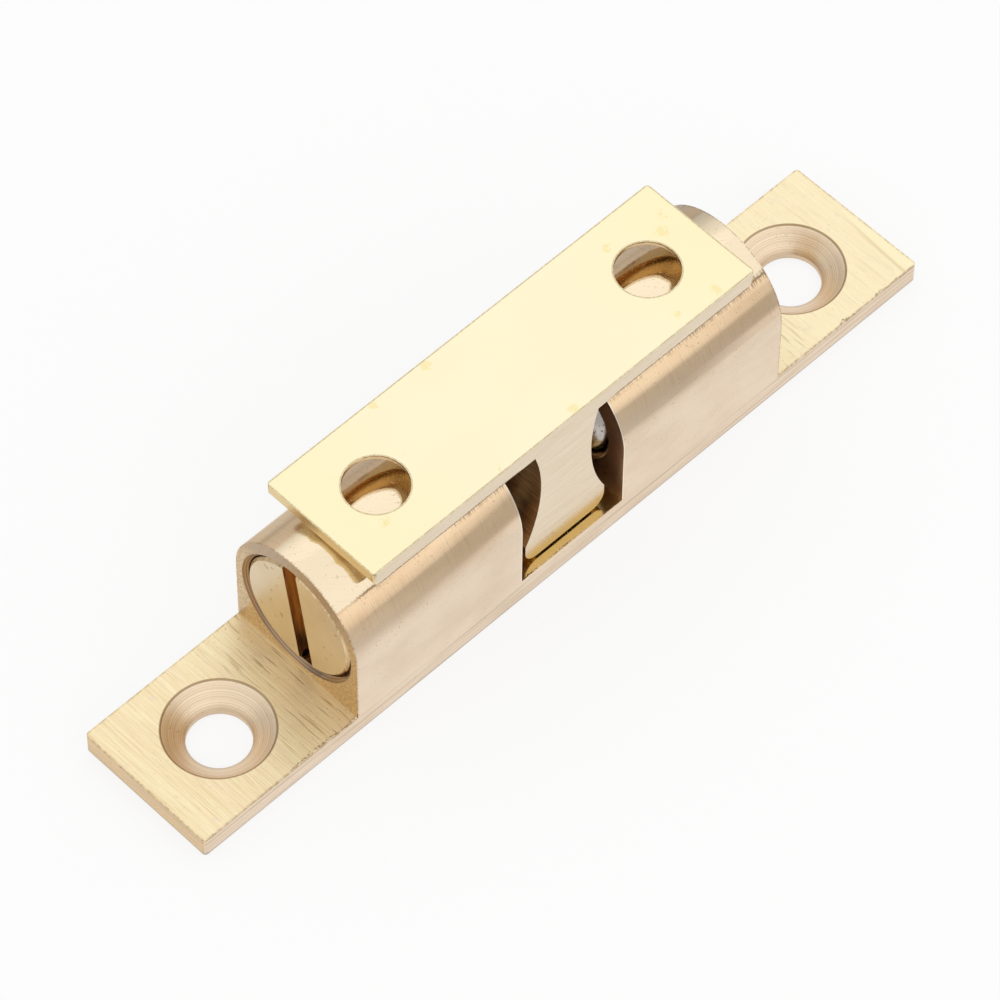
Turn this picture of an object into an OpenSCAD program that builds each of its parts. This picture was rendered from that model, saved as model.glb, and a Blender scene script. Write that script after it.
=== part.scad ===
// Double ball catch: a solid brass housing with two sprung steel balls that
// grip the grooved tongue of a separate strike plate.
// The base's underside is at z = 0, the ball axis runs along x, z is up.

/* [Base] */
// Length of each fixing tab, from the housing's end face
tab_length = 12.3; // [10.5:0.1:20]
// Thickness of the fixing tabs
tab_thickness = 1.55; // [1.2:0.05:1.9]
// Width of the base and of the housing
base_width = 10.3; // [9.9:0.1:13]
// Radius of the tabs' outer corners
tab_corner = 0.25; // [0.1:0.05:2]
// Distance of a fixing hole from the housing's end face
hole_setback = 6.4; // [4.5:0.1:7]
// Diameter of the fixing holes
hole_diameter = 4; // [3:0.1:5]
// Diameter of the fixing holes' countersinks
countersink_diameter = 6.95; // [5.5:0.05:7.8]
// Straight land left under each countersink
hole_land = 0.35; // [0.1:0.05:0.8]

/* [Housing] */
// Length of the housing
housing_length = 35.4; // [34.4:0.1:44]
// Height of the housing's rounded crown
housing_height = 12.05; // [11.6:0.05:15]
// Height of the ball axis
bore_height = 6.45; // [6.3:0.05:7]
// Width of the cross slot that takes the tongue
slot_width = 8.44; // [7.6:0.02:9]
// Height of the cross slot's floor
slot_floor = 1.85; // [1:0.05:2.6]

/* [Balls] */
// Diameter of the balls
ball_diameter = 7.94; // [7.2:0.02:8.1]
// Gap between a ball and its bore
ball_clearance = 0.08; // [0.04:0.01:0.12]
// How far the retaining lip closes in on the ball's radius
lip_grip = 0.45; // [0.4:0.01:0.8]
// Depth of the retaining edge behind the slot's wall
lip_depth = 0.4; // [0.15:0.01:0.5]
// Widening of the ball opening where it meets the slot's wall
lip_chamfer = 0.35; // [0.1:0.01:0.4]
// Gap between a ball and its retaining edge
seat_clearance = 0.05; // [0.02:0.01:0.1]
// Point angle of the drilled end of the bore
drill_angle = 118; // [90:2:135]

/* [Adjusting screws] */
// Length of the screws
screw_length = 3; // [2.4:0.1:3.6]
// Depth of a screw's face below the housing's end face
screw_recess = 0.1; // [0.05:0.05:0.6]
// Gap between a screw and its threaded bore
screw_clearance = 0.08; // [0.04:0.01:0.12]
// Chamfer of the screws' ends
screw_chamfer = 0.18; // [0.05:0.01:0.3]
// Radial step from the ball bore up to the threaded bore
thread_step = 0.3; // [0.2:0.05:0.4]
// Length of the threaded bore from the housing's end face
thread_length = 5; // [4.4:0.1:6]
// Chamfer of the threaded bore's mouth
mouth_chamfer = 0.3; // [0.1:0.02:0.34]
// Width of the screwdriver slots
driver_slot_width = 1.15; // [0.6:0.05:1.4]
// Depth of the screwdriver slots
driver_slot_depth = 1.2; // [0.6:0.1:1.6]
// Lean of the left screw's slot from upright
left_slot_lean = 8.6; // [-90:0.2:90]
// Lean of the right screw's slot from upright
right_slot_lean = -31; // [-90:0.2:90]

/* [Springs] */
// Diameter of the spring wire
wire_diameter = 0.6; // [0.4:0.05:0.7]
// Mean diameter of the coils
coil_diameter = 5.4; // [4.6:0.1:6]
// Number of open turns
open_turns = 2; // [1:0.5:3]
// Number of closed turns at each end
closed_turns = 0.75; // [0.5:0.25:1]
// Gap between the closed turns' wires
closed_gap = 0.06; // [0.02:0.01:0.1]
// Gap between a spring's ends and what it presses on
spring_clearance = 0.04; // [0.02:0.01:0.1]

/* [Strike plate] */
// Length of the strike plate
strike_length = 31.3; // [29:0.1:44]
// Width of the strike plate and of its tongue
strike_width = 9; // [7:0.1:13]
// Thickness of the strike plate
strike_thickness = 1.29; // [1:0.01:2.5]
// Gap between the housing's crown and the plate
strike_gap = 0.3; // [0.1:0.05:1]
// Radius of the plate's lower end edges
strike_end_round = 0.7; // [0.2:0.05:0.9]
// Radius of the plate's upright corners
strike_corner = 0.25; // [0.1:0.05:2]
// Spacing of the strike's screw holes
strike_hole_spacing = 22.3; // [18:0.1:24]
// Diameter of the strike's screw holes
strike_hole_diameter = 4.1; // [3:0.1:4.8]
// Diameter of the strike's countersinks, on the tongue's side
strike_countersink = 6.1; // [5.2:0.1:6.8]
// Straight land left over each of the strike's countersinks
strike_land = 0.3; // [0.1:0.05:0.8]

/* [Tongue] */
// Gap between the tongue's lip and each slot wall
tongue_side_clearance = 0.92; // [0.3:0.02:1.1]
// Gap between the tongue and the slot's floor
tongue_floor_clearance = 0.2; // [0.1:0.05:0.6]
// Radius of the tongue's lower edges
tongue_round = 1; // [0.4:0.1:1.5]
// Radius of the tongue's side grooves
groove_radius = 11.5; // [9:0.1:16]
// Height of the grooves' narrowest point over the ball axis
groove_rise = 2.45; // [1.5:0.05:3]
// Gap between a groove and the ball in it
groove_clearance = 0.1; // [0.05:0.01:0.2]

/* [Hidden] */
$fn = 96;
brass = [0.86, 0.74, 0.52];
pale_brass = [0.95, 0.89, 0.70];
steel = [0.72, 0.73, 0.76];
spring_steel = [0.55, 0.56, 0.58];
// overlap of cutting shapes past the faces they open
eps = 0.4;

base_length = housing_length + 2 * tab_length;
end_x = housing_length / 2;
wall_x = slot_width / 2;
hole_x = end_x + hole_setback;
crown_radius = base_width / 2;
crown_height = housing_height - crown_radius;

ball_radius = ball_diameter / 2;
bore_radius = ball_radius + ball_clearance;
lip_radius = ball_radius - lip_grip;
lip_x = wall_x + lip_depth;
bore_end_x = lip_x + (bore_radius - lip_radius) / tan(drill_angle / 2);
// a ball rests against the retaining edge
ball_x = lip_x + sqrt(pow(ball_radius + seat_clearance, 2) - pow(lip_radius, 2));

thread_radius = bore_radius + thread_step;
thread_x = end_x - thread_length;
// the mouth's chamfer stays above the tabs
mouth_radius = min(thread_radius + mouth_chamfer, bore_height - tab_thickness);
screw_radius = thread_radius - screw_clearance;
screw_face_x = end_x - screw_recess;
screw_back_x = screw_face_x - screw_length;

wire_radius = wire_diameter / 2;
coil_radius = coil_diameter / 2;
// the first turn seats on the back of the ball, the last on the screw
spring_reach = ball_radius + wire_radius + spring_clearance;
spring_start = ball_x + sqrt(pow(spring_reach, 2) - pow(coil_radius, 2));
spring_end = screw_back_x - wire_radius - spring_clearance;
closed_rise = closed_turns * (wire_diameter + closed_gap);
open_rise = spring_end - spring_start - 2 * closed_rise;
spring_turns = open_turns + 2 * closed_turns;

strike_bottom = housing_height + strike_gap;
strike_top = strike_bottom + strike_thickness;
lip_half = wall_x - tongue_side_clearance;
tongue_bottom = slot_floor + tongue_floor_clearance;
groove_height = bore_height + groove_rise;
// the grooves' centres follow from the balls at rest
groove_reach = groove_radius - ball_radius - groove_clearance;
groove_x = ball_x + sqrt(pow(groove_reach, 2) - pow(groove_rise, 2));

// Turns a shape made along z so that it lies along the ball axis
module along_bore() {
    translate([0, 0, bore_height])
        rotate([0, 90, 0])
            children();
}

// Puts a shape on the right and its twin, turned round, on the left
module both_ends() {
    for (turn = [0, 180])
        rotate([0, 0, turn])
            children();
}

// A rectangle with its four corners rounded
module rounded_plate(length, width, corner) {
    square([length - 2 * corner, width], center = true);
    square([length, width - 2 * corner], center = true);
    for (sx = [-1, 1], sy = [-1, 1])
        translate([sx * (length / 2 - corner), sy * (width / 2 - corner)])
            circle(r = corner);
}

// Section of the housing: upright sides under a round crown
module housing_section() {
    translate([-base_width / 2, 0])
        square([base_width, crown_height]);
    translate([0, crown_height])
        circle(r = crown_radius);
}

// A countersunk hole that opens upwards, from z = 0 to the plate's top
module countersunk_hole(plate, diameter, sink, land) {
    slope = (sink - diameter) / 2 / (plate - land);
    translate([0, 0, -eps])
        cylinder(d = diameter, h = plate + eps);
    translate([0, 0, land])
        cylinder(d1 = diameter, d2 = sink + 2 * eps * slope, h = plate - land + eps);
}

// One half of the through bore, from the slot's wall to the housing's end
module bore_cutter() {
    splay = lip_chamfer / lip_depth;
    rotate_extrude()
        polygon([
            [0, wall_x - eps],
            [lip_radius + lip_chamfer + eps * splay, wall_x - eps],
            [lip_radius, lip_x],
            [bore_radius, bore_end_x],
            [bore_radius, thread_x],
            [thread_radius, thread_x + thread_step],
            [thread_radius, end_x - (mouth_radius - thread_radius)],
            [mouth_radius, end_x],
            [mouth_radius, end_x + eps],
            [0, end_x + eps]
        ]);
}

module body() {
    color(brass)
        difference() {
            union() {
                linear_extrude(tab_thickness)
                    rounded_plate(base_length, base_width, tab_corner);
                translate([-end_x, 0, 0])
                    rotate([90, 0, 90])
                        linear_extrude(housing_length)
                            housing_section();
            }
            translate([-wall_x, -base_width, slot_floor])
                cube([slot_width, 2 * base_width, housing_height]);
            both_ends() {
                along_bore()
                    bore_cutter();
                translate([hole_x, 0, 0])
                    countersunk_hole(tab_thickness, hole_diameter, countersink_diameter, hole_land);
            }
        }
}

module ball() {
    color(steel)
        translate([ball_x, 0, bore_height])
            sphere(r = ball_radius);
}

// A slotted grub screw with its slot in the outer face
module adjusting_screw(lean) {
    color(brass)
        difference() {
            along_bore()
                rotate_extrude()
                    polygon([
                        [0, screw_back_x],
                        [screw_radius - screw_chamfer, screw_back_x],
                        [screw_radius, screw_back_x + screw_chamfer],
                        [screw_radius, screw_face_x - screw_chamfer],
                        [screw_radius - screw_chamfer, screw_face_x],
                        [0, screw_face_x]
                    ]);
            translate([screw_face_x - driver_slot_depth, 0, bore_height])
                rotate([-lean, 0, 0])
                    translate([0, -driver_slot_width / 2, -thread_radius])
                        cube([driver_slot_depth + eps, driver_slot_width, 2 * thread_radius]);
        }
}

// Distance along the axis after a number of turns: closed, open, closed
function coil_rise(turn) =
    turn < closed_turns ? turn * closed_rise / closed_turns
    : turn < closed_turns + open_turns
        ? closed_rise + (turn - closed_turns) * open_rise / open_turns
    : closed_rise + open_rise
        + (turn - closed_turns - open_turns) * closed_rise / closed_turns;

// A compression spring of round wire between the ball and the screw
module spring() {
    steps_a_turn = 16;
    sides = 8;
    rings = round(spring_turns * steps_a_turn);
    points = [
        for (ring = [0 : rings], side = [0 : sides - 1])
            let (
                turn = spring_turns * ring / rings,
                around = 360 * turn,
                across = 360 * side / sides,
                r = coil_radius + wire_radius * cos(across)
            )
            [
                spring_start + coil_rise(turn) + wire_radius * sin(across),
                r * cos(around),
                r * sin(around) + bore_height
            ]
    ];
    skin = [
        for (ring = [0 : rings - 1], side = [0 : sides - 1], half = [0, 1])
            let (
                a = ring * sides + side,
                b = ring * sides + (side + 1) % sides
            )
            half == 0 ? [a, b, b + sides] : [a, b + sides, a + sides]
    ];
    first_cap = [for (side = [sides - 1 : -1 : 0]) side];
    last_cap = [for (side = [0 : sides - 1]) rings * sides + side];
    color(spring_steel)
        polyhedron(concat(points), concat(skin, [first_cap, last_cap]));
}

// Section of the plate: its lower end edges are rounded over
module plate_section() {
    half = strike_length / 2;
    inner = half - strike_end_round;
    translate([-inner, strike_bottom])
        square([2 * inner, strike_thickness]);
    translate([-half, strike_bottom + strike_end_round])
        square([strike_length, strike_thickness - strike_end_round]);
    intersection() {
        for (sx = [-1, 1])
            translate([sx * inner, strike_bottom + strike_end_round])
                circle(r = strike_end_round);
        translate([-half, strike_bottom])
            square([strike_length, strike_end_round]);
    }
}

// Section of the tongue: a waisted stem over a rounded lip
module tongue_section() {
    inner = lip_half - tongue_round;
    top = strike_bottom + strike_thickness / 2;
    difference() {
        union() {
            translate([-inner, tongue_bottom])
                square([2 * inner, top - tongue_bottom]);
            translate([-lip_half, tongue_bottom + tongue_round])
                square([2 * lip_half, top - tongue_bottom - tongue_round]);
            for (sx = [-1, 1])
                translate([sx * inner, tongue_bottom + tongue_round])
                    circle(r = tongue_round);
        }
        for (sx = [-1, 1])
            translate([sx * groove_x, groove_height])
                circle(r = groove_radius);
    }
}

// Pulls a section in the x-z plane out to the strike's width
module strike_bar() {
    translate([0, strike_width / 2, 0])
        rotate([90, 0, 0])
            linear_extrude(strike_width)
                children();
}

module strike() {
    color(pale_brass)
        difference() {
            union() {
                strike_bar()
                    tongue_section();
                intersection() {
                    strike_bar()
                        plate_section();
                    translate([0, 0, strike_bottom - eps])
                        linear_extrude(strike_thickness + 2 * eps)
                            rounded_plate(strike_length, strike_width, strike_corner);
                }
            }
            for (sx = [-1, 1])
                translate([sx * strike_hole_spacing / 2, 0, strike_top])
                    rotate([180, 0, 0])
                        countersunk_hole(
                            strike_thickness,
                            strike_hole_diameter,
                            strike_countersink,
                            strike_land
                        );
        }
}

module right_ball() { ball(); }
module left_ball() { rotate([0, 0, 180]) ball(); }
module right_spring() { spring(); }
module left_spring() { rotate([0, 0, 180]) spring(); }
module right_adjusting_screw() { adjusting_screw(right_slot_lean); }
module left_adjusting_screw() { rotate([0, 0, 180]) adjusting_screw(-left_slot_lean); }

body();
left_ball();
right_ball();
left_spring();
right_spring();
left_adjusting_screw();
right_adjusting_screw();
strike();
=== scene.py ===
"""Looks of the double ball catch: brushed brass, steel balls and soft studio light."""

import math
import random

import bpy
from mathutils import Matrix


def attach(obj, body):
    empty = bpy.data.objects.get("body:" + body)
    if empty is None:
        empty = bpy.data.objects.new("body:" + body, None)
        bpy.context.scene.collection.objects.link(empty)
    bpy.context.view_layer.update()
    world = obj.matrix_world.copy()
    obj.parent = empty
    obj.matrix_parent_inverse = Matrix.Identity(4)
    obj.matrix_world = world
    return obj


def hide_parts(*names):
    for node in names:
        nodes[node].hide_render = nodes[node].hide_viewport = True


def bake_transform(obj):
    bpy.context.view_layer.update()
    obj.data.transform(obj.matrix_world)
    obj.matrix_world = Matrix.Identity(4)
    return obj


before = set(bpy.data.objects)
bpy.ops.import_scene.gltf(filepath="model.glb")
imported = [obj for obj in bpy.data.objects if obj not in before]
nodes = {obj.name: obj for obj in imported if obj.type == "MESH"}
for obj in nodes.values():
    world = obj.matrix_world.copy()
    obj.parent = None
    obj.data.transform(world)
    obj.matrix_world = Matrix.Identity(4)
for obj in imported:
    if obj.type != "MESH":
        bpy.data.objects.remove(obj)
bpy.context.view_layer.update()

# Metres in a millimetre
MM = 0.001

# Sizes of the part that the looks follow, in millimetres
HALF_LENGTH = 30.0
HALF_WIDTH = 5.15
TAB_TOP = 1.55
HOLE_X = 24.1
HOLE_RADIUS = 2.0
SINK_RADIUS = 3.475
END_X = 17.7
WALL_X = 4.22
SLOT_FLOOR = 1.85
BORE_Z = 6.45
SEAT_RADIUS = 3.84
SEAT_DEPTH = 0.6
THREAD_START_X = 12.5
THREAD_RADIUS = 4.35
MOUTH_RADIUS = 4.65
STRIKE_BOTTOM = 12.35
STRIKE_HALF_LENGTH = 15.65
STRIKE_HALF_WIDTH = 4.5
STRIKE_HOLE_X = 11.15
STRIKE_HOLE_RADIUS = 2.05
TONGUE_ROOT_X = 3.4

# Adjusting screws, in millimetres, and the lean of their driver slots from the vertical, in degrees
SCREW_RADIUS = 4.27
SCREW_FACE_X = 17.6
SCREW_BACK_X = 14.6
SCREW_CHAMFER = 0.18
SCREW_FACE_LAND = 0.24
SCREW_COLUMNS = 96
BLANK_COLUMNS = 128
PITCH = 0.75
THREAD_DEPTH = 0.4
DRIVER_SLOT_WIDTH = 1.15
DRIVER_SLOT_DEPTH = 1.2
LEFT_SLOT_LEAN = 8.6
RIGHT_SLOT_LEAN = -31.0
# One pitch of thread: where each ring of points lies along it, and its radius
THREAD_STEPS = (0.12, 0.44, 0.56, 0.88)
THREAD_RADII = (SCREW_RADIUS - THREAD_DEPTH, SCREW_RADIUS, SCREW_RADIUS, SCREW_RADIUS - THREAD_DEPTH)

# Springs, in millimetres: the wire's centre line and where its ends meet the ball and the screw
SPRING_START = 9.92
SPRING_MIDDLE = 12.75
SPRING_END = 14.26
SPRING_HOLD = 0.3
BALL_END_X = 9.65
SCREW_END_X = 14.5
COIL_RADIUS = 2.7
WIRE_RADIUS = 0.3
CLOSED_TURNS = 0.75
CLOSED_PITCH = 0.66
OPEN_TURNS = 2.0
RINGS_PER_TURN = 48
WIRE_SIDES = 14

# Edges and burrs, in millimetres: rounding, the rim that it leaves plain, and a burr's steps
BROKEN_EDGE = 0.06
ROUNDED = 0.07
WELD_GAP = 0.001
BURR_STEP = 0.07
BURR_ROOT = 0.07
STEPS_PER_SWELL = 9

# Near edge and far edge of the polished strip along the crown
STRIP_NEAR_Y = -3.5
STRIP_FAR_Y = 1.5

# Stains on the strike's face: x, y and radius
STAINS = (
    (0.8, -4.1, 0.50), (13.7, 1.4, 0.50), (14.6, 2.4, 0.32), (13.0, -3.8, 0.42), (-12.5, -2.3, 0.42),
    (10.5, 2.7, 0.36), (-3.2, 4.2, 0.45), (-7.3, 4.2, 0.38), (-5.2, -4.1, 0.26), (10.0, -3.6, 0.30),
)

# Floor, in millimetres: half its side, and how far it lies under the part
FLOOR_HALF = 3000.0
FLOOR_DROP = 0.05


class Nodes:
    """Short calls for building a node tree."""

    def __init__(self, owner):
        owner.use_nodes = True
        self.tree = owner.node_tree
        self.tree.nodes.clear()

    def add(self, kind, **settings):
        node = self.tree.nodes.new(kind)
        for key, value in settings.items():
            setattr(node, key, value)
        return node

    def put(self, socket, value):
        if isinstance(value, bpy.types.NodeSocket):
            self.tree.links.new(value, socket)
        else:
            socket.default_value = value

    def split(self, vector):
        node = self.add("ShaderNodeSeparateXYZ")
        self.put(node.inputs[0], vector)
        return node.outputs[0], node.outputs[1], node.outputs[2]

    def join(self, x, y, z):
        node = self.add("ShaderNodeCombineXYZ")
        for socket, value in zip(node.inputs, (x, y, z)):
            self.put(socket, value)
        return node.outputs[0]

    def vector(self, operation, a, b=None, scale=None):
        node = self.add("ShaderNodeVectorMath", operation=operation)
        self.put(node.inputs[0], a)
        if b is not None:
            self.put(node.inputs[1], b)
        if scale is not None:
            self.put(node.inputs["Scale"], scale)
        return node.outputs["Value" if operation == "LENGTH" else "Vector"]

    def math(self, operation, a, b=0.0):
        node = self.add("ShaderNodeMath", operation=operation)
        self.put(node.inputs[0], a)
        self.put(node.inputs[1], b)
        return node.outputs[0]

    def minus(self, a, b):
        return self.math("SUBTRACT", a, b)

    def most(self, a, b):
        return self.math("MAXIMUM", a, b)

    def times(self, *factors):
        result = factors[0]
        for factor in factors[1:]:
            result = self.math("MULTIPLY", result, factor)
        return result

    def plus(self, *terms):
        result = terms[0]
        for term in terms[1:]:
            result = self.math("ADD", result, term)
        return result

    def ramp(self, value, low, high, start=0.0, end=1.0):
        """Goes smoothly from start to end while value goes from low to high."""
        node = self.add("ShaderNodeMapRange", interpolation_type="SMOOTHSTEP")
        for socket, number in zip(node.inputs, (value, low, high, start, end)):
            self.put(socket, number)
        return node.outputs[0]

    def band(self, value, low, high, soft):
        """One between low and high, fading out over soft on both sides."""
        return self.times(self.ramp(value, low - soft, low), self.ramp(value, high + soft, high))

    def mix(self, factor, a, b):
        node = self.add("ShaderNodeMix", data_type="RGBA")
        self.put(node.inputs[0], factor)
        self.put(node.inputs[6], a)
        self.put(node.inputs[7], b)
        return node.outputs[2]

    def blend(self, factor, a, b):
        node = self.add("ShaderNodeMix", data_type="FLOAT")
        self.put(node.inputs[0], factor)
        self.put(node.inputs[2], a)
        self.put(node.inputs[3], b)
        return node.outputs[0]


class Shader(Nodes):
    """A material whose textures follow the part's own frame, in millimetres."""

    def __init__(self, name):
        self.material = bpy.data.materials.new(name)
        super().__init__(self.material)
        coords = self.add("ShaderNodeTexCoord")
        self.place = self.vector("SCALE", coords.outputs["Object"], scale=1.0 / MM)
        self.x, self.y, self.z = self.split(self.place)
        self.nx, self.ny, self.nz = self.split(coords.outputs["Normal"])
        self.far_x = self.math("ABSOLUTE", self.x)
        self.far_y = self.math("ABSOLUTE", self.y)
        self.along = self.math("ABSOLUTE", self.nx)
        self.across = self.math("ABSOLUTE", self.ny)

    def noise(self, scale, detail=2.0, rough=0.5, where=None, shift=0.0, turn=0.0):
        """Noise with its own number of features per millimetre along each axis."""
        where = where or self.place
        if turn:
            node = self.add("ShaderNodeVectorRotate", rotation_type="Z_AXIS")
            self.put(node.inputs["Vector"], where)
            self.put(node.inputs["Angle"], math.radians(turn))
            where = node.outputs[0]
        stretched = self.vector("MULTIPLY", where, scale)
        moved = self.vector("ADD", stretched, (shift, shift * 0.7, shift * 1.3))
        node = self.add("ShaderNodeTexNoise")
        self.put(node.inputs["Vector"], moved)
        self.put(node.inputs["Scale"], 1.0)
        self.put(node.inputs["Detail"], detail)
        self.put(node.inputs["Roughness"], rough)
        return node.outputs["Fac"]

    def swing(self, noise, reach):
        """Noise that swings about zero."""
        return self.times(self.minus(noise, 0.5), reach)

    def rings(self, radius, pace, detail=3.0):
        """Turning marks: noise that changes only with the radius."""
        return self.noise((1.0, 1.0, 1.0), detail, 0.6, where=self.join(self.times(radius, pace), 0.0, 0.0))

    def from_upright(self, x, axis_x, axis_y=0.0):
        """Distance from an upright axis."""
        return self.vector("LENGTH", self.join(self.minus(x, axis_x), self.minus(self.y, axis_y), 0.0))

    def from_bore(self):
        """Distance from the bore's axis."""
        return self.vector("LENGTH", self.join(0.0, self.y, self.minus(self.z, BORE_Z)))

    def border(self, half_length, half_width, reach):
        """One along the edges of a rectangle, from reach inside them to their rounding."""
        return self.most(
            self.ramp(self.far_y, half_width - reach, half_width - ROUNDED),
            self.ramp(self.far_x, half_length - reach, half_length - ROUNDED),
        )

    def metal(self, colour, roughness, height, depth):
        """The finished metal; height is the relief in units of depth millimetres."""
        bump = self.add("ShaderNodeBump")
        self.put(bump.inputs["Strength"], 1.0)
        self.put(bump.inputs["Distance"], depth * MM)
        self.put(bump.inputs["Height"], height)
        shader = self.add("ShaderNodeBsdfPrincipled")
        self.put(shader.inputs["Base Color"], colour)
        self.put(shader.inputs["Metallic"], 1.0)
        self.put(shader.inputs["Roughness"], roughness)
        self.put(shader.inputs["Normal"], bump.outputs[0])
        out = self.add("ShaderNodeOutputMaterial")
        self.put(out.inputs[0], shader.outputs[0])
        return self.material


def rgb(red, green, blue):
    return (red, green, blue, 1.0)


PIT_BROWN = rgb(0.40, 0.26, 0.16)


def sides_and_crown(s, cloud, pit):
    """Drawn sides, and a crown that turns golden and bright towards its summit: the deeper gold is a painted
    reflection of brass in brass, the pale summit a painted highlight on a polished strip.
    """
    rubbed = s.noise((12.0, 0.6, 0.6), 2.0, 0.5, shift=9.0)
    mottle = s.ramp(cloud, 0.35, 0.7)
    flat = s.mix(mottle, rgb(0.86, 0.70, 0.53), rgb(0.80, 0.64, 0.47))
    # painted reflection: the crown is a deeper, redder gold than the flat side, standing in for brass
    # mirrored in brass
    crown = s.mix(mottle, rgb(0.95, 0.71, 0.46), rgb(0.90, 0.65, 0.41))
    crown = s.mix(s.times(s.ramp(rubbed, 0.5, 0.75), 0.35), crown, rgb(0.66, 0.46, 0.27))
    hair = s.ramp(s.noise((0.5, 11.0, 1.0), 2.0, 0.5, shift=31.0, turn=28.0), 0.60, 0.68)
    # painted highlight: the polished strip along the crown's top is also painted paler, standing in for the
    # light falling on it
    summit = s.mix(s.times(hair, 0.15), rgb(0.94, 0.79, 0.57), rgb(0.72, 0.50, 0.28))

    # the polished strip, with a ragged line and torn ticks along its near edge
    on_crown = s.times(s.ramp(s.z, 9.2, 9.6), s.ramp(s.nz, 0.5, 0.6))
    ragged_y = s.plus(s.y, s.swing(s.noise((8.0, 0.8, 0.8), 3.0, 0.7, shift=51.0), 0.25))
    near_edge = s.ramp(ragged_y, STRIP_NEAR_Y - 0.05, STRIP_NEAR_Y + 0.08)
    polished = s.times(near_edge, s.ramp(s.y, STRIP_FAR_Y + 0.4, STRIP_FAR_Y), on_crown)
    tick = s.ramp(s.noise((15.0, 0.6, 0.6), 3.0, 0.7, shift=57.0), 0.46, 0.60)
    patchy = s.plus(s.noise((0.3, 0.3, 0.3), 1.0, 0.5, shift=5.0), s.times(s.x, 0.012))
    ticks_start = s.ramp(s.y, STRIP_NEAR_Y - 0.4, STRIP_NEAR_Y - 0.05)
    ticks_end = s.ramp(s.y, STRIP_NEAR_Y + 0.25, STRIP_NEAR_Y + 0.1)
    ticks = s.times(tick, s.ramp(patchy, 0.30, 0.60), ticks_start, ticks_end)
    line = s.band(ragged_y, STRIP_NEAR_Y - 0.06, STRIP_NEAR_Y + 0.01, 0.04)
    line = s.times(line, s.ramp(s.x, -16.8, -15.2, 0.25, 1.0))
    torn = s.times(s.most(ticks, line), on_crown)

    side = s.mix(s.ramp(s.nz, 0.10, 0.55), flat, crown)
    side = s.mix(polished, side, summit)
    side = s.mix(s.times(torn, 0.85), side, rgb(0.28, 0.18, 0.10))
    side = s.mix(s.times(pit, s.blend(polished, 0.6, 0.25)), side, PIT_BROWN)
    return side, polished, torn


def sawn_ends(s, side, grit):
    """Gritty end faces, golden towards the bottom as a painted reflection of the tabs, with a dull line
    along the housing's end edges.
    """
    on_end = s.times(s.ramp(s.along, 0.8, 0.95), s.ramp(s.far_x, END_X - 0.4, END_X - 0.35))
    speck = s.ramp(s.noise((9.0, 9.0, 9.0), 3.0, 0.65, shift=13.0), 0.52, 0.66)
    # painted reflection: golden low on the end faces, where the tabs below mirror in them, browner higher up
    sawn = s.mix(s.ramp(s.z, 7.5, 11.0), rgb(0.79, 0.57, 0.31), rgb(0.51, 0.37, 0.24))
    sawn = s.mix(s.times(speck, 0.5), sawn, rgb(0.40, 0.27, 0.15))
    side = s.mix(on_end, side, sawn)
    rim = s.times(s.band(s.far_x, END_X - 0.07, END_X, 0.03), s.ramp(s.z, TAB_TOP + 0.1, TAB_TOP + 0.2))
    side = s.mix(s.times(rim, s.ramp(grit, 0.35, 0.6), 0.6), side, rgb(0.42, 0.29, 0.17))
    return side, s.times(speck, on_end)


def bore_mouth(s, side, bore):
    """The bore's mouth, brown with the run-out of the thread."""
    in_mouth = s.times(
        s.band(bore, THREAD_RADIUS - 0.5, MOUTH_RADIUS - 0.02, 0.02),
        s.ramp(s.far_x, THREAD_START_X, THREAD_START_X + 0.1),
        s.ramp(s.along, 0.95, 0.85),
    )
    thread = s.ramp(s.rings(bore, 16.0), 0.4, 0.6)
    return s.mix(in_mouth, side, s.mix(thread, rgb(0.52, 0.36, 0.23), rgb(0.27, 0.17, 0.10)))


def cut_slot(s, side, bore, fine):
    """Slot walls painted paler as painted light, with slanting tool marks, painted shade in the ball's seat
    and a painted highlight along the edges, over a golden floor.
    """
    on_wall = s.times(s.ramp(s.far_x, WALL_X + 0.6, WALL_X + 0.5), s.ramp(s.along, 0.4, 0.8))
    slanting = s.join(s.plus(s.y, s.z), s.minus(s.y, s.z), 0.0)
    slant = s.ramp(s.noise((0.5, 7.0, 1.0), 2.0, 0.5, where=slanting), 0.50, 0.72)
    # painted light: the shaded slot walls get a paler brass than the sides, carrying the slanting tool marks
    side = s.mix(on_wall, side, s.mix(slant, rgb(0.93, 0.68, 0.52), rgb(1.0, 0.84, 0.66)))
    # painted shade: the lip round the ball's opening is painted dark brown, where shade falls round the ball
    seat = s.times(
        s.band(bore, SEAT_RADIUS - 0.44, SEAT_RADIUS, 0.04),
        s.band(s.far_x, WALL_X + 0.02, WALL_X + SEAT_DEPTH, 0.02),
    )
    side = s.mix(seat, side, rgb(0.34, 0.21, 0.12))
    # painted highlight: a pale line along the slot's edges above its floor
    slot_edge_painted_highlight = s.times(
        s.band(s.far_x, WALL_X, WALL_X + BROKEN_EDGE, 0.03),
        s.ramp(s.across, 0.4, 0.7),
        s.ramp(s.z, SLOT_FLOOR, SLOT_FLOOR + 0.1),
    )
    side = s.mix(s.times(slot_edge_painted_highlight, 0.8), side, rgb(1.0, 0.92, 0.80))
    on_floor = s.times(
        s.ramp(s.far_x, WALL_X + 0.03, WALL_X - 0.02),
        s.ramp(s.nz, 0.90, 0.98),
        s.ramp(s.z, SLOT_FLOOR + 0.2, SLOT_FLOOR + 0.1),
    )
    side = s.mix(on_floor, side, s.mix(fine, rgb(0.84, 0.63, 0.27), rgb(0.64, 0.46, 0.18)))
    return side, on_wall


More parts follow.
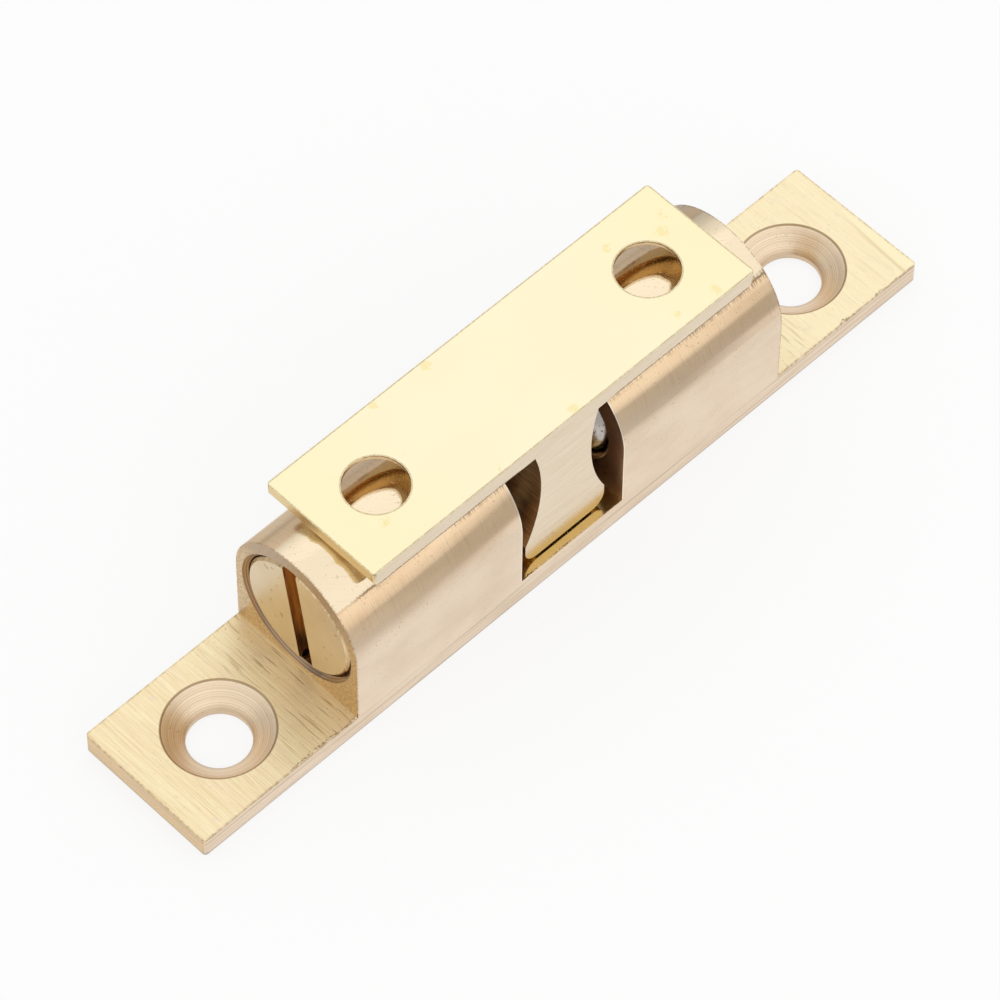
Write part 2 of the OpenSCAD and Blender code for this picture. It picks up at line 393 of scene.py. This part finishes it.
def tab_tops(s, fine, pit, tatter):
    """Milled lines across the base, scarred beside the housing and worn on the right."""
    hairline = s.noise((27.0, 0.4, 1.0), 2.0, 0.6, shift=17.0)
    broad = s.noise((2.2, 0.10, 1.0), 2.0, 0.5, shift=7.0)
    deep = s.noise((5.0, 0.35, 1.0), 2.0, 0.55, shift=21.0)
    beside = s.ramp(s.far_x, 22.8, 18.4)
    worn = s.ramp(s.x, -1.0, 1.0, 1.0, 0.35)
    scar = s.times(s.ramp(deep, 0.57, 0.68), s.blend(beside, 0.15, 1.0))
    top = s.mix(s.times(s.ramp(fine, 0.3, 0.75), worn), rgb(0.98, 0.86, 0.58), rgb(0.90, 0.73, 0.44))
    top = s.mix(s.times(s.ramp(hairline, 0.5, 0.72), worn, 0.7), top, rgb(0.74, 0.54, 0.28))
    top = s.mix(s.times(s.ramp(broad, 0.45, 0.75), worn, 0.35), top, rgb(0.90, 0.70, 0.47))
    rub = s.ramp(s.noise((1.6, 1.1, 1.0), 3.0, 0.7, shift=61.0), 0.58, 0.70)
    top = s.mix(s.times(rub, 0.3), top, rgb(0.80, 0.66, 0.56))
    top = s.mix(s.times(scar, 0.62), top, rgb(0.46, 0.30, 0.13))
    top = s.mix(s.times(pit, s.blend(beside, 0.25, 0.6)), top, rgb(0.48, 0.33, 0.20))

    # a shallow ledge milled along the end of the right tab, painted paler on it as a painted highlight, with
    # a painted shadow line along it
    wander = s.swing(s.noise((0.5, 0.6, 1.0), 2.0, 0.6, shift=3.0), 0.08)
    ledge_x = s.minus(s.x, s.plus(wander, s.ramp(s.y, -5.0, 2.0, 29.05, 29.45)))
    ledge = s.times(s.ramp(ledge_x, -0.10, 0.12), s.ramp(s.y, 2.5, -1.5))
    lip = s.times(s.band(ledge_x, -0.05, 0.03, 0.14), s.ramp(s.y, 2.0, -3.0))
    top = s.mix(s.times(ledge, 0.5), top, rgb(1.0, 0.90, 0.60))
    top = s.mix(s.times(lip, 0.4), top, rgb(0.66, 0.48, 0.25))

    # a ragged dark line along the top edges
    line = s.times(s.border(HALF_LENGTH, HALF_WIDTH, 0.14), s.ramp(tatter, 0.40, 0.66, 0.15, 0.65))
    top = s.mix(line, top, rgb(0.46, 0.31, 0.15))

    rough = s.plus(s.blend(fine, 0.26, 0.42), s.times(beside, 0.14))
    milled = s.times(s.plus(fine, broad, s.times(hairline, 0.6)), worn)
    height = s.plus(milled, s.times(scar, -1.6), s.times(pit, -0.5), s.times(ledge, 3.0))
    return top, rough, height


def tab_edges(s, side, tatter):
    """Rolled lines along the base's sides, a painted contact shadow along their bottom edge and a ragged
    burr under the tabs' top edges.
    """
    on_tab_side = s.times(s.ramp(s.z, TAB_TOP + 0.05, TAB_TOP), s.ramp(s.nz, 0.8, 0.6))
    lengthways = s.noise((0.10, 8.0, 9.0), 2.0, 0.5, shift=2.0)
    crossways = s.noise((8.0, 0.12, 7.0), 2.0, 0.5, shift=4.0)
    rolled = s.blend(s.ramp(s.along, 0.5, 0.9), lengthways, crossways)
    side = s.mix(s.times(on_tab_side, s.ramp(rolled, 0.48, 0.66), 0.65), side, rgb(0.56, 0.42, 0.28))
    # painted shadow: a dark grey line along the bottom of the sides, where they meet the floor
    bottom_painted_shadow = s.times(s.ramp(s.z, 0.18, 0.05), s.ramp(s.nz, 0.5, 0.2))
    side = s.mix(s.times(bottom_painted_shadow, 0.7), side, rgb(0.42, 0.35, 0.29))
    ragged_z = s.plus(s.z, s.times(tatter, 0.5))
    torn = s.times(
        s.ramp(ragged_z, TAB_TOP + 0.13, TAB_TOP + 0.24), on_tab_side, s.ramp(s.far_x, END_X - 0.1, END_X)
    )
    side = s.mix(s.times(torn, 0.75), side, rgb(0.36, 0.23, 0.12))
    return side, torn


def countersinks(s, cloud, pit):
    """Turned rings, with painted shade towards the hole and a painted dark line of shade round their edge.
    """
    radius = s.from_upright(s.far_x, HOLE_X)
    turned = s.rings(radius, 10.0)
    in_sink = s.times(s.ramp(radius, SINK_RADIUS + 0.09, SINK_RADIUS + 0.03), s.ramp(s.nz, 0.97, 0.90))
    ring = s.mix(s.ramp(turned, 0.40, 0.62), rgb(0.96, 0.80, 0.59), rgb(0.80, 0.61, 0.42))
    bright = s.ramp(s.rings(radius, 17.0), 0.56, 0.66)
    ring = s.mix(s.times(bright, 0.7), ring, rgb(1.0, 0.90, 0.72))
    # painted shade: the rings darken towards the hole, standing in for the shade of a short straight land at
    # its bottom
    bottom = s.ramp(radius, HOLE_RADIUS + 0.26, HOLE_RADIUS + 0.10, 0.0, 0.5)
    ring = s.mix(bottom, ring, rgb(0.50, 0.34, 0.21))
    ring = s.mix(s.times(pit, 0.5), ring, PIT_BROWN)
    # painted shade: a dark line round the rim, standing in for the shade of a short steep wall there
    edge = s.times(
        s.band(radius, SINK_RADIUS - 0.07, SINK_RADIUS + 0.02, 0.05),
        s.blend(cloud, 0.55, 1.0),
        s.ramp(s.z, TAB_TOP - 0.2, TAB_TOP - 0.1),
    )
    height = s.plus(s.times(turned, 2.5), s.times(pit, -0.5))
    return ring, in_sink, edge, height


def housing_brass():
    s = Shader("housing_brass_look")
    cloud = s.noise((0.22, 0.4, 0.4), 3.0, 0.55)
    grit = s.noise((6.0, 6.0, 6.0), 2.0, 0.6)
    pit = s.ramp(grit, 0.65, 0.73)
    drawn = s.noise((0.5, 7.0, 7.0), 3.0, 0.6)
    fine = s.noise((13.0, 0.2, 1.0), 3.0, 0.6)
    tatter = s.noise((3.5, 3.5, 1.0), 3.0, 0.7, shift=41.0)
    bore = s.from_bore()

    side, polished, torn = sides_and_crown(s, cloud, pit)
    side, end_specks = sawn_ends(s, side, grit)
    side = bore_mouth(s, side, bore)
    side, on_wall = cut_slot(s, side, bore, fine)
    side, torn_edge = tab_edges(s, side, tatter)
    top, top_rough, top_height = tab_tops(s, fine, pit, tatter)
    ring, in_sink, sink_rim_painted_shade, ring_height = countersinks(s, cloud, pit)

    on_tab = s.times(s.ramp(s.nz, 0.90, 0.98), s.ramp(s.z, TAB_TOP + 0.17, TAB_TOP + 0.07))
    colour = s.mix(on_tab, side, top)
    colour = s.mix(in_sink, colour, ring)
    colour = s.mix(sink_rim_painted_shade, colour, rgb(0.36, 0.23, 0.11))
    rough = s.blend(s.ramp(s.nz, 0.1, 0.5), s.blend(cloud, 0.24, 0.38), s.blend(cloud, 0.11, 0.22))
    rough = s.blend(on_tab, rough, top_rough)
    rough = s.blend(polished, rough, s.blend(cloud, 0.07, 0.13))
    rough = s.blend(on_wall, rough, 0.34)
    rough = s.blend(in_sink, rough, 0.36)
    dents = s.plus(s.times(s.plus(pit, end_specks), -0.8), s.times(torn_edge, -1.0), s.times(torn, -1.5))
    height = s.blend(on_tab, s.plus(s.times(drawn, 0.35), dents), top_height)
    height = s.blend(in_sink, height, ring_height)
    return s.metal(colour, rough, height, 0.006)


def strike_face(s, cloud, dot, tatter):
    """Smooth pale face with a few yellow stains, and a thin brown line round it and its holes."""
    ragged = s.swing(s.noise((2.6, 2.6, 2.6), 3.0, 0.6, shift=3.0), 1.4)
    stain = 0.0
    for x, y, radius in STAINS:
        reach = s.plus(s.from_upright(s.x, x, y), ragged)
        stain = s.most(stain, s.ramp(reach, radius, radius * 0.4))
    face = s.mix(cloud, rgb(0.97, 0.89, 0.63), rgb(0.94, 0.86, 0.59))
    face = s.mix(s.ramp(s.far_x, 6.0, 15.0, 0.0, 0.6), face, rgb(0.95, 0.86, 0.53))
    face = s.mix(s.times(stain, 0.42), face, rgb(0.90, 0.72, 0.26))
    face = s.mix(s.times(dot, 0.35), face, rgb(0.62, 0.50, 0.28))
    line_width = 0.13
    hole = s.from_upright(s.far_x, STRIKE_HOLE_X)
    hole_rim = s.ramp(hole, STRIKE_HOLE_RADIUS + line_width, STRIKE_HOLE_RADIUS + ROUNDED)
    line = s.most(s.border(STRIKE_HALF_LENGTH, STRIKE_HALF_WIDTH, line_width), hole_rim)
    return s.mix(s.times(line, s.ramp(tatter, 0.35, 0.6, 0.35, 0.75)), face, rgb(0.50, 0.37, 0.20))


def strike_edges(s, cloud, brushed, tatter):
    """Brushed beige edges, brown grooves in the tongue with milled marks and painted shade, painted
    highlights along the tongue's edges and a golden underside darkened as painted shade.
    """
    streak = s.noise((0.15, 1.0, 14.0), 2.0, 0.5, shift=6.0)
    edge = s.mix(s.ramp(brushed, 0.3, 0.7), rgb(0.85, 0.72, 0.55), rgb(0.79, 0.66, 0.48))
    edge = s.mix(s.times(s.ramp(streak, 0.58, 0.72), 0.25), edge, rgb(0.64, 0.50, 0.34))
    below = s.ramp(s.z, STRIKE_BOTTOM - 0.05, STRIKE_BOTTOM - 0.15)
    # painted shade over milled marks: the tongue's grooves are painted dark brown, where shade falls in them
    in_groove = s.times(s.ramp(s.along, 0.3, 0.6), below)
    milled = s.ramp(s.noise((4.0, 0.6, 9.0), 3.0, 0.65, shift=8.0), 0.35, 0.7)
    edge = s.mix(in_groove, edge, s.mix(milled, rgb(0.30, 0.18, 0.08), rgb(0.52, 0.34, 0.16)))
    # painted highlight: a pale line along the tongue's edges
    bright = s.times(below, s.band(s.along, 0.25, 0.8, 0.1), s.ramp(s.across, 0.3, 0.5))
    edge = s.mix(s.times(bright, 0.8), edge, rgb(1.0, 0.92, 0.78))

    # the plate's sheared lower edge, ragged and dark
    ragged_z = s.plus(s.z, s.times(tatter, -0.28))
    sheared = s.times(
        s.band(ragged_z, STRIKE_BOTTOM - 0.4, STRIKE_BOTTOM - 0.07, 0.05),
        s.ramp(s.z, STRIKE_BOTTOM - 0.05, STRIKE_BOTTOM),
        s.ramp(s.far_x, TONGUE_ROOT_X, TONGUE_ROOT_X + 1.0),
        s.ramp(s.across, 0.2, 0.5),
    )
    edge = s.mix(s.times(sheared, 0.85), edge, rgb(0.22, 0.14, 0.07))

    # the plate's underside, darkened as painted shade, its ends and a dark ragged line along its top edges
    on_plate = s.ramp(s.z, STRIKE_BOTTOM - 0.1, STRIKE_BOTTOM)
    underside = s.times(s.ramp(s.nz, -0.3, -0.7), on_plate)
    edge = s.mix(underside, edge, s.mix(cloud, rgb(0.66, 0.46, 0.22), rgb(0.54, 0.37, 0.17)))
    at_end = s.ramp(s.far_x, STRIKE_HALF_LENGTH - 0.45, STRIKE_HALF_LENGTH - 0.25)
    edge = s.mix(s.times(s.ramp(s.along, 0.4, 0.7), on_plate, at_end), edge, rgb(0.78, 0.60, 0.30))
    arris = s.times(s.band(s.nz, 0.25, 0.85, 0.1), s.ramp(s.z, STRIKE_BOTTOM + 1.1, STRIKE_BOTTOM + 1.2))
    edge = s.mix(s.times(arris, s.ramp(tatter, 0.35, 0.6, 0.55, 0.95)), edge, rgb(0.44, 0.31, 0.16))
    return edge, in_groove, sheared


def strike_brass():
    s = Shader("strike_brass_look")
    cloud = s.noise((0.15, 0.2, 0.2), 2.0, 0.5)
    dot = s.ramp(s.noise((7.0, 7.0, 7.0), 2.0, 0.6, shift=2.0), 0.70, 0.76)
    brushed = s.noise((0.45, 9.0, 9.0), 3.0, 0.6)
    tatter = s.noise((5.0, 5.0, 0.5), 3.0, 0.7, shift=11.0)
    face = strike_face(s, cloud, dot, tatter)
    edge, in_groove, sheared = strike_edges(s, cloud, brushed, tatter)
    on_top = s.ramp(s.nz, 0.88, 0.98)
    colour = s.mix(on_top, edge, face)
    rough = s.blend(on_top, s.blend(brushed, 0.20, 0.32), s.blend(cloud, 0.14, 0.24))
    rough = s.blend(in_groove, rough, 0.42)
    edge_height = s.plus(brushed, s.times(sheared, -2.0))
    face_height = s.plus(s.times(cloud, 0.5), s.times(dot, -0.8))
    return s.metal(colour, rough, s.blend(on_top, edge_height, face_height), 0.004)


def screw_brass():
    s = Shader("screw_brass_look")
    turned = s.rings(s.from_bore(), 5.0, 2.0)
    cloud = s.noise((0.4, 0.4, 0.4), 2.0, 0.5)
    speck = s.ramp(s.noise((2.2, 2.2, 2.2), 1.0, 0.5, shift=5.0), 0.70, 0.76)
    face = s.mix(cloud, rgb(0.80, 0.66, 0.45), rgb(0.68, 0.54, 0.34))
    face = s.mix(s.times(speck, 0.6), face, rgb(0.40, 0.25, 0.10))
    # the sawn slot, with streaks along it, and the thread, both painted a darker, more orange brown as
    # painted shade
    left_lean = math.tan(math.radians(LEFT_SLOT_LEAN))
    right_lean = math.tan(math.radians(RIGHT_SLOT_LEAN))
    lean = s.ramp(s.x, -1.0, 1.0, left_lean, right_lean)
    over = s.minus(s.y, s.times(lean, s.minus(s.z, BORE_Z)))
    sawn = s.noise((4.0, 7.0, 0.25), 3.0, 0.6, where=s.join(s.x, over, s.z))
    cut_brass = s.mix(s.ramp(sawn, 0.40, 0.60), rgb(0.90, 0.67, 0.38), rgb(0.60, 0.38, 0.17))
    deep = s.ramp(s.far_x, SCREW_FACE_X - 0.5, SCREW_FACE_X - 0.6)
    in_cut = s.most(s.ramp(s.along, 0.9, 0.6), deep)
    colour = s.mix(in_cut, face, cut_brass)
    rough = s.blend(in_cut, s.blend(cloud, 0.30, 0.40), 0.30)
    return s.metal(colour, rough, s.blend(in_cut, turned, sawn), 0.004)


def ball_steel():
    s = Shader("ball_steel_look")
    speck = s.ramp(s.noise((4.2, 4.2, 4.2), 2.0, 0.6), 0.61, 0.67)
    cloud = s.noise((0.5, 0.5, 0.5), 2.0, 0.5)
    colour = s.mix(cloud, rgb(0.58, 0.54, 0.50), rgb(0.48, 0.44, 0.41))
    colour = s.mix(s.times(speck, 0.7), colour, rgb(0.14, 0.12, 0.11))
    return s.metal(colour, s.blend(cloud, 0.16, 0.26), s.times(speck, -1.0), 0.008)


def spring_steel():
    s = Shader("spring_steel_look")
    drawn = s.noise((4.0, 4.0, 4.0), 3.0, 0.6)
    colour = s.mix(drawn, rgb(0.62, 0.63, 0.65), rgb(0.44, 0.44, 0.46))
    return s.metal(colour, s.blend(drawn, 0.26, 0.42), drawn, 0.003)


def torn_brass(name, light, dark):
    s = Shader(name)
    flake = s.noise((5.0, 3.0, 3.0), 3.0, 0.7)
    return s.metal(s.mix(s.ramp(flake, 0.4, 0.6), light, dark), 0.38, flake, 0.01)


BRASS = housing_brass()
STRIKE = strike_brass()
SCREW = screw_brass()
STEEL = ball_steel()
WIRE = spring_steel()
BURR = torn_brass("burr_look", rgb(0.95, 0.82, 0.60), rgb(0.60, 0.44, 0.27))
SHEARED = torn_brass("sheared_look", rgb(0.40, 0.27, 0.15), rgb(0.16, 0.10, 0.05))
looks = {
    "body": BRASS,
    "strike": STRIKE,
    "left_adjusting_screw": SCREW,
    "right_adjusting_screw": SCREW,
    "left_ball": STEEL,
    "right_ball": STEEL,
    "left_spring": WIRE,
    "right_spring": WIRE,
}
for name, material in looks.items():
    nodes[name].data.materials.clear()
    nodes[name].data.materials.append(material)

# Broken edges: every machined edge carries a fine rounding that catches the light
for name in ("body", "strike"):
    weld = nodes[name].modifiers.new("weld", "WELD")
    weld.merge_threshold = WELD_GAP * MM
    edge = nodes[name].modifiers.new("broken_edges", "BEVEL")
    edge.width = BROKEN_EDGE * MM
    edge.segments = 2
    edge.limit_method = "ANGLE"
    edge.angle_limit = math.radians(32)
    edge.harden_normals = True


def mesh_object(name, points, faces):
    """An object in the scene, from points in millimetres."""
    mesh = bpy.data.meshes.new(name)
    mesh.from_pydata([(x * MM, y * MM, z * MM) for x, y, z in points], [], faces)
    made = bpy.data.objects.new(name, mesh)
    bpy.context.scene.collection.objects.link(made)
    return made


def piece(name, points, faces, material, body, smooth=True):
    """A piece of the part that rides on a body, if one is named."""
    made = mesh_object(name, points, faces)
    made.data.polygons.foreach_set("use_smooth", [smooth] * len(made.data.polygons))
    made.data.materials.append(material)
    made.data.update()
    if body:
        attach(made, body)
    return made


def grid_faces(rows, columns, closed):
    """Faces between rows of points; closed joins the last column to the first."""
    faces = []
    for row in range(rows - 1):
        for column in range(columns if closed else columns - 1):
            here = row * columns + column
            beside = row * columns + (column + 1) % columns
            faces.append((here, beside, beside + columns, here + columns))
    return faces


def spring_x(turn):
    """How far out the wire's centre lies after a number of turns from the ball."""
    spread = min(max(turn - CLOSED_TURNS, 0.0), OPEN_TURNS)
    open_length = SPRING_END - SPRING_START - 2 * CLOSED_TURNS * CLOSED_PITCH
    return SPRING_START + (CLOSED_PITCH * (turn - spread) + open_length * spread / OPEN_TURNS)


def spring(name, sign, ball, feed):
    """Round spring wire in two pieces, split at its middle."""
    turns = OPEN_TURNS + 2 * CLOSED_TURNS
    rings = int(turns * RINGS_PER_TURN)
    points = []
    for ring in range(rings + 1):
        turn = turns * ring / rings
        angle = 2 * math.pi * turn
        for side in range(WIRE_SIDES):
            round_wire = 2 * math.pi * side / WIRE_SIDES
            reach = COIL_RADIUS + WIRE_RADIUS * math.cos(round_wire)
            points.append((
                sign * (spring_x(turn) + WIRE_RADIUS * math.sin(round_wire)),
                sign * reach * math.cos(angle),
                BORE_Z + reach * math.sin(angle),
            ))
    split = next(ring for ring in range(rings) if spring_x(turns * ring / rings) > SPRING_MIDDLE)
    near_points = points[:(split + 1) * WIRE_SIDES]
    far_points = points[split * WIRE_SIDES:]
    near_cap = tuple(range(WIRE_SIDES - 1, -1, -1))
    far_cap = tuple(range(len(far_points) - WIRE_SIDES, len(far_points)))
    near_faces = grid_faces(split + 1, WIRE_SIDES, True) + [near_cap]
    far_faces = grid_faces(rings - split + 1, WIRE_SIDES, True) + [far_cap]
    for part, corners, faces, bodies, low, high in (
        ("_ball_end", near_points, near_faces, (ball, "catch"), BALL_END_X, SPRING_MIDDLE - SPRING_HOLD),
        ("_screw_end", far_points, far_faces, ("catch", feed), SPRING_MIDDLE + SPRING_HOLD, SCREW_END_X),
    ):
        made = piece(name + part, corners, faces, WIRE, None)
        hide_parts(name)
        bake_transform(made)


spring("left_spring", -1, "left_ball", "left_feed")
spring("right_spring", 1, "right_ball", "right_feed")


def cut(shape, operation, tool):
    """Joins a tool to a shape by a Boolean and keeps the outcome as the shape's mesh."""
    step = shape.modifiers.new("cut", "BOOLEAN")
    step.operation = operation
    step.solver = "EXACT"
    step.object = tool
    made = bpy.data.meshes.new_from_object(shape.evaluated_get(bpy.context.evaluated_depsgraph_get()))
    shape.modifiers.clear()
    shape.data = made
    bpy.data.objects.remove(tool)


def screw_thread(sign):
    """Points and faces of a right-hand thread that reaches past both ends of the screw."""
    low, high = sorted((sign * (SCREW_BACK_X - 2.0), sign * (SCREW_FACE_X + 1.5)))
    start = PITCH * math.floor(low / PITCH) + 0.42 * PITCH
    pitches = math.ceil((high - start) / PITCH)
    columns = SCREW_COLUMNS
    jump = len(THREAD_STEPS)
    rows = pitches * jump
    points = []
    for row in range(rows):
        for column in range(columns):
            angle = 2 * math.pi * column / columns
            x = start + PITCH * (row // jump + THREAD_STEPS[row % jump] + column / columns)
            reach = THREAD_RADII[row % jump]
            if sign * x > SCREW_FACE_X - SCREW_FACE_LAND:
                reach = SCREW_RADIUS + 0.03
            points.append((x, reach * math.cos(angle), BORE_Z + reach * math.sin(angle)))
    faces = [face[::-1] for face in grid_faces(rows, columns, False)]
    # the last column meets the first one a whole pitch further on
    last = columns - 1
    for row in range(rows - jump - 1):
        here = row * columns + last
        there = (row + jump) * columns
        faces.append((here, here + columns, there + columns, there))
    # a fan of triangles closes each end
    first_rim = list(range(columns)) + [row * columns for row in range(jump, 0, -1)]
    top = (rows - 1) * columns
    last_rim = list(range(top, top + columns)) + [top - row * columns + last for row in range(1, jump + 1)]
    points += [(start, 0.0, BORE_Z), (start + PITCH * (pitches + 1), 0.0, BORE_Z)]
    for rim, centre, flip in ((first_rim, len(points) - 2, False), (last_rim, len(points) - 1, True)):
        for here, there in zip(rim, rim[1:] + rim[:1]):
            faces.append((there, here, centre) if flip else (here, there, centre))
    return points, faces


def screw_blank(sign):
    """Points and faces of the screw's chamfered outline, which trims the thread."""
    rim = SCREW_RADIUS - SCREW_CHAMFER
    full = SCREW_RADIUS + 0.001
    profile = (
        (SCREW_BACK_X, rim),
        (SCREW_BACK_X + SCREW_CHAMFER, full),
        (SCREW_FACE_X - SCREW_CHAMFER, full),
        (SCREW_FACE_X, rim),
    )
    turn = 2 * math.pi / BLANK_COLUMNS
    points = [
        (sign * x, reach * math.cos(turn * column), BORE_Z + reach * math.sin(turn * column))
        for x, reach in profile
        for column in range(BLANK_COLUMNS)
    ]
    back = tuple(range(BLANK_COLUMNS - 1, -1, -1))
    front = tuple(range(len(points) - BLANK_COLUMNS, len(points)))
    faces = grid_faces(len(profile), BLANK_COLUMNS, True) + [back, front]
    return points, [face[::-1] for face in faces] if sign > 0 else faces


def slot_saw(sign, lean):
    """Points and faces of the bar that cuts the driver slot."""
    tilt = math.radians(lean)
    half = DRIVER_SLOT_WIDTH / 2
    far = 6.0
    points = [
        (sign * x, u * math.cos(tilt) + v * math.sin(tilt), BORE_Z - u * math.sin(tilt) + v * math.cos(tilt))
        for x in (SCREW_FACE_X - DRIVER_SLOT_DEPTH, SCREW_FACE_X + 1.0)
        for u, v in ((-half, -far), (half, -far), (half, far), (-half, far))
    ]
    faces = grid_faces(2, 4, True) + [(3, 2, 1, 0), (4, 5, 6, 7)]
    return points, [face[::-1] for face in faces] if sign < 0 else faces


def threaded_screw(name, sign, lean, body):
    """Grub screw with a right-hand thread, chamfered ends and a sawn driver slot."""
    points, faces = screw_thread(sign)
    made = piece(name + "_threaded", points, faces, SCREW, body)
    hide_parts(name)
    cut(made, "INTERSECT", mesh_object("blank", *screw_blank(sign)))
    cut(made, "DIFFERENCE", mesh_object("saw", *slot_saw(sign, lean)))
    made.data.polygons.foreach_set("use_smooth", [True] * len(made.data.polygons))
    made.data.set_sharp_from_angle(angle=math.radians(24))


threaded_screw("left_adjusting_screw", -1, LEFT_SLOT_LEAN, "left_screw")
threaded_screw("right_adjusting_screw", 1, RIGHT_SLOT_LEAN, "right_screw")


def burr(name, edge, height, body, material, seed):
    """A ragged ridge along an edge, given as (x from, x to), (y, inward) and (z, upward)."""
    (x0, x1), (y, inward), (z, upward) = edge
    dice = random.Random(seed)
    count = int((x1 - x0) / BURR_STEP)
    swell = [dice.random() ** 2 for _ in range(count // STEPS_PER_SWELL + 3)]
    points = []
    for step in range(count + 1):
        place = step / STEPS_PER_SWELL
        before = int(place)
        share = place - before
        size = swell[before] * (1 - share) + swell[before + 1] * share
        tip = height * size * (0.25 + 0.75 * dice.random()) + 0.004
        x = x0 + (x1 - x0) * step / count
        points.append((x, y, z - upward * BURR_ROOT))
        points.append((x + 0.03 * (dice.random() - 0.5), y + inward * (0.01 + 0.5 * tip), z + upward * tip))
        points.append((x, y + inward * (0.08 + 0.25 * size * dice.random()), z - upward * 0.005))
    piece(name, points, grid_faces(count + 1, 3, False), material, body, smooth=False)


for name, stretch, z, height, seed in (
    ("left_tab_burr", (-23.0, -17.8), TAB_TOP, 0.18, 5),
    ("right_tab_burr", (23.0, 29.6), TAB_TOP, 0.10, 8),
    ("slot_burr", (-4.2, 4.2), SLOT_FLOOR, 0.08, 21),
):
    burr(name, (stretch, (-HALF_WIDTH, 1), (z, 1)), height, "catch", BURR, seed)
for side, name in ((-1, "near"), (1, "behind")):
    for start, end, part in ((-15.0, -4.0, "left"), (4.0, 15.0, "right")):
        lower_edge = ((start, end), (side * STRIKE_HALF_WIDTH, -side), (STRIKE_BOTTOM, -1))
        seed = 31 + side + int(end)
        burr("plate_burr_" + name + "_" + part, lower_edge, 0.24, "strike", SHEARED, seed)


def floor_look():
    """White to the camera; in reflections a painted pool of light close to the part, greyer further off."""
    s = Shader("floor_look")
    paper = s.noise((0.05, 0.05, 0.05), 2.0, 0.5)
    diffuse = s.add("ShaderNodeBsdfDiffuse")
    s.put(diffuse.inputs["Color"], s.mix(paper, rgb(0.94, 0.94, 0.94), rgb(0.95, 0.95, 0.95)))
    away_x = s.most(s.minus(s.far_x, HALF_LENGTH), 0.0)
    away_y = s.most(s.minus(s.far_y, HALF_WIDTH), 0.0)
    away = s.vector("LENGTH", s.join(away_x, away_y, 0.0))
    # painted light: the floor glows brighter round the part in reflections, standing in for light thrown off
    # its sides
    painted_floor_glow = s.ramp(away, 6.0, 16.0, 1.0, s.ramp(s.x, -20.0, 25.0, 0.60, 0.42))
    rays = s.add("ShaderNodeLightPath").outputs
    glow = s.add("ShaderNodeEmission")
    s.put(glow.inputs["Strength"], s.blend(rays["Is Camera Ray"], painted_floor_glow, 1.0))
    seen = s.most(s.most(rays["Is Camera Ray"], rays["Is Glossy Ray"]), rays["Is Transmission Ray"])
    mixed = s.add("ShaderNodeMixShader")
    s.put(mixed.inputs[0], s.times(seen, 0.8))
    s.put(mixed.inputs[1], diffuse.outputs[0])
    s.put(mixed.inputs[2], glow.outputs[0])
    out = s.add("ShaderNodeOutputMaterial")
    s.put(out.inputs[0], mixed.outputs[0])
    return s.material


def light_tent():
    """A tent of light, brightest overhead and greyer along the horizon, but white to the camera."""
    world = bpy.data.worlds.new("tent")
    w = Nodes(world)
    dir_x, dir_y, dir_z = w.split(w.add("ShaderNodeTexCoord").outputs["Generated"])
    sky = w.add("ShaderNodeValToRGB")
    w.put(sky.inputs[0], dir_z)
    stops = sky.color_ramp.elements
    for position, level in ((0.0, 0.66), (0.10, 0.84), (0.30, 1.00), (0.75, 1.02), (1.0, 0.98)):
        stop = stops[0] if position == 0.0 else stops[-1] if position == 1.0 else stops.new(position)
        stop.position = position
        stop.color = rgb(level, level, level * 0.995)
    behind = w.times(w.ramp(dir_y, 0.25, 0.85), w.ramp(dir_z, 0.80, 0.35), 0.40)
    left = w.times(w.ramp(dir_x, -0.2, -0.8), 0.12)
    tent = w.add("ShaderNodeBackground")
    w.put(tent.inputs[0], sky.outputs[0])
    w.put(tent.inputs[1], w.minus(1.0, w.plus(behind, left)))
    plain = w.add("ShaderNodeBackground")
    w.put(plain.inputs[0], rgb(1.0, 1.0, 1.0))
    choice = w.add("ShaderNodeMixShader")
    w.put(choice.inputs[0], w.add("ShaderNodeLightPath").outputs["Is Camera Ray"])
    w.put(choice.inputs[1], tent.outputs[0])
    w.put(choice.inputs[2], plain.outputs[0])
    out = w.add("ShaderNodeOutputWorld")
    w.put(out.inputs[0], choice.outputs[0])
    return world


corners = [(-FLOOR_HALF, -FLOOR_HALF, 0), (FLOOR_HALF, -FLOOR_HALF, 0)]
corners += [(FLOOR_HALF, FLOOR_HALF, 0), (-FLOOR_HALF, FLOOR_HALF, 0)]
floor = mesh_object("floor", corners, [(0, 1, 2, 3)])
floor.location.z = -FLOOR_DROP * MM
floor.data.materials.append(floor_look())
bpy.context.scene.world = light_tent()

# Softbox behind the part, where its upper faces mirror it
light = bpy.data.lights.new("softbox", "AREA")
light.shape = "SQUARE"
light.size = 0.6
light.energy = 0.06
softbox = bpy.data.objects.new("softbox", light)
softbox.location = (0.28, 0.28, 0.58)
softbox.rotation_euler = (-softbox.location).to_track_quat("-Z", "Y").to_euler()
bpy.context.scene.collection.objects.link(softbox)

# Camera at the photo's angle
camera_data = bpy.data.cameras.new("camera")
camera_data.lens = 220.3427
camera_data.sensor_width = 36.0
camera_data.clip_start = 0.01
camera = bpy.data.objects.new("camera", camera_data)
camera.location = (-0.14789440763, -0.14753212023, 0.30525975293)
camera.rotation_euler = (0.6012567898528063, -0.00595457287683665, -0.7745340974598485)
bpy.context.scene.collection.objects.link(camera)
bpy.context.scene.camera = camera
bpy.context.scene.view_settings.view_transform = "Standard"
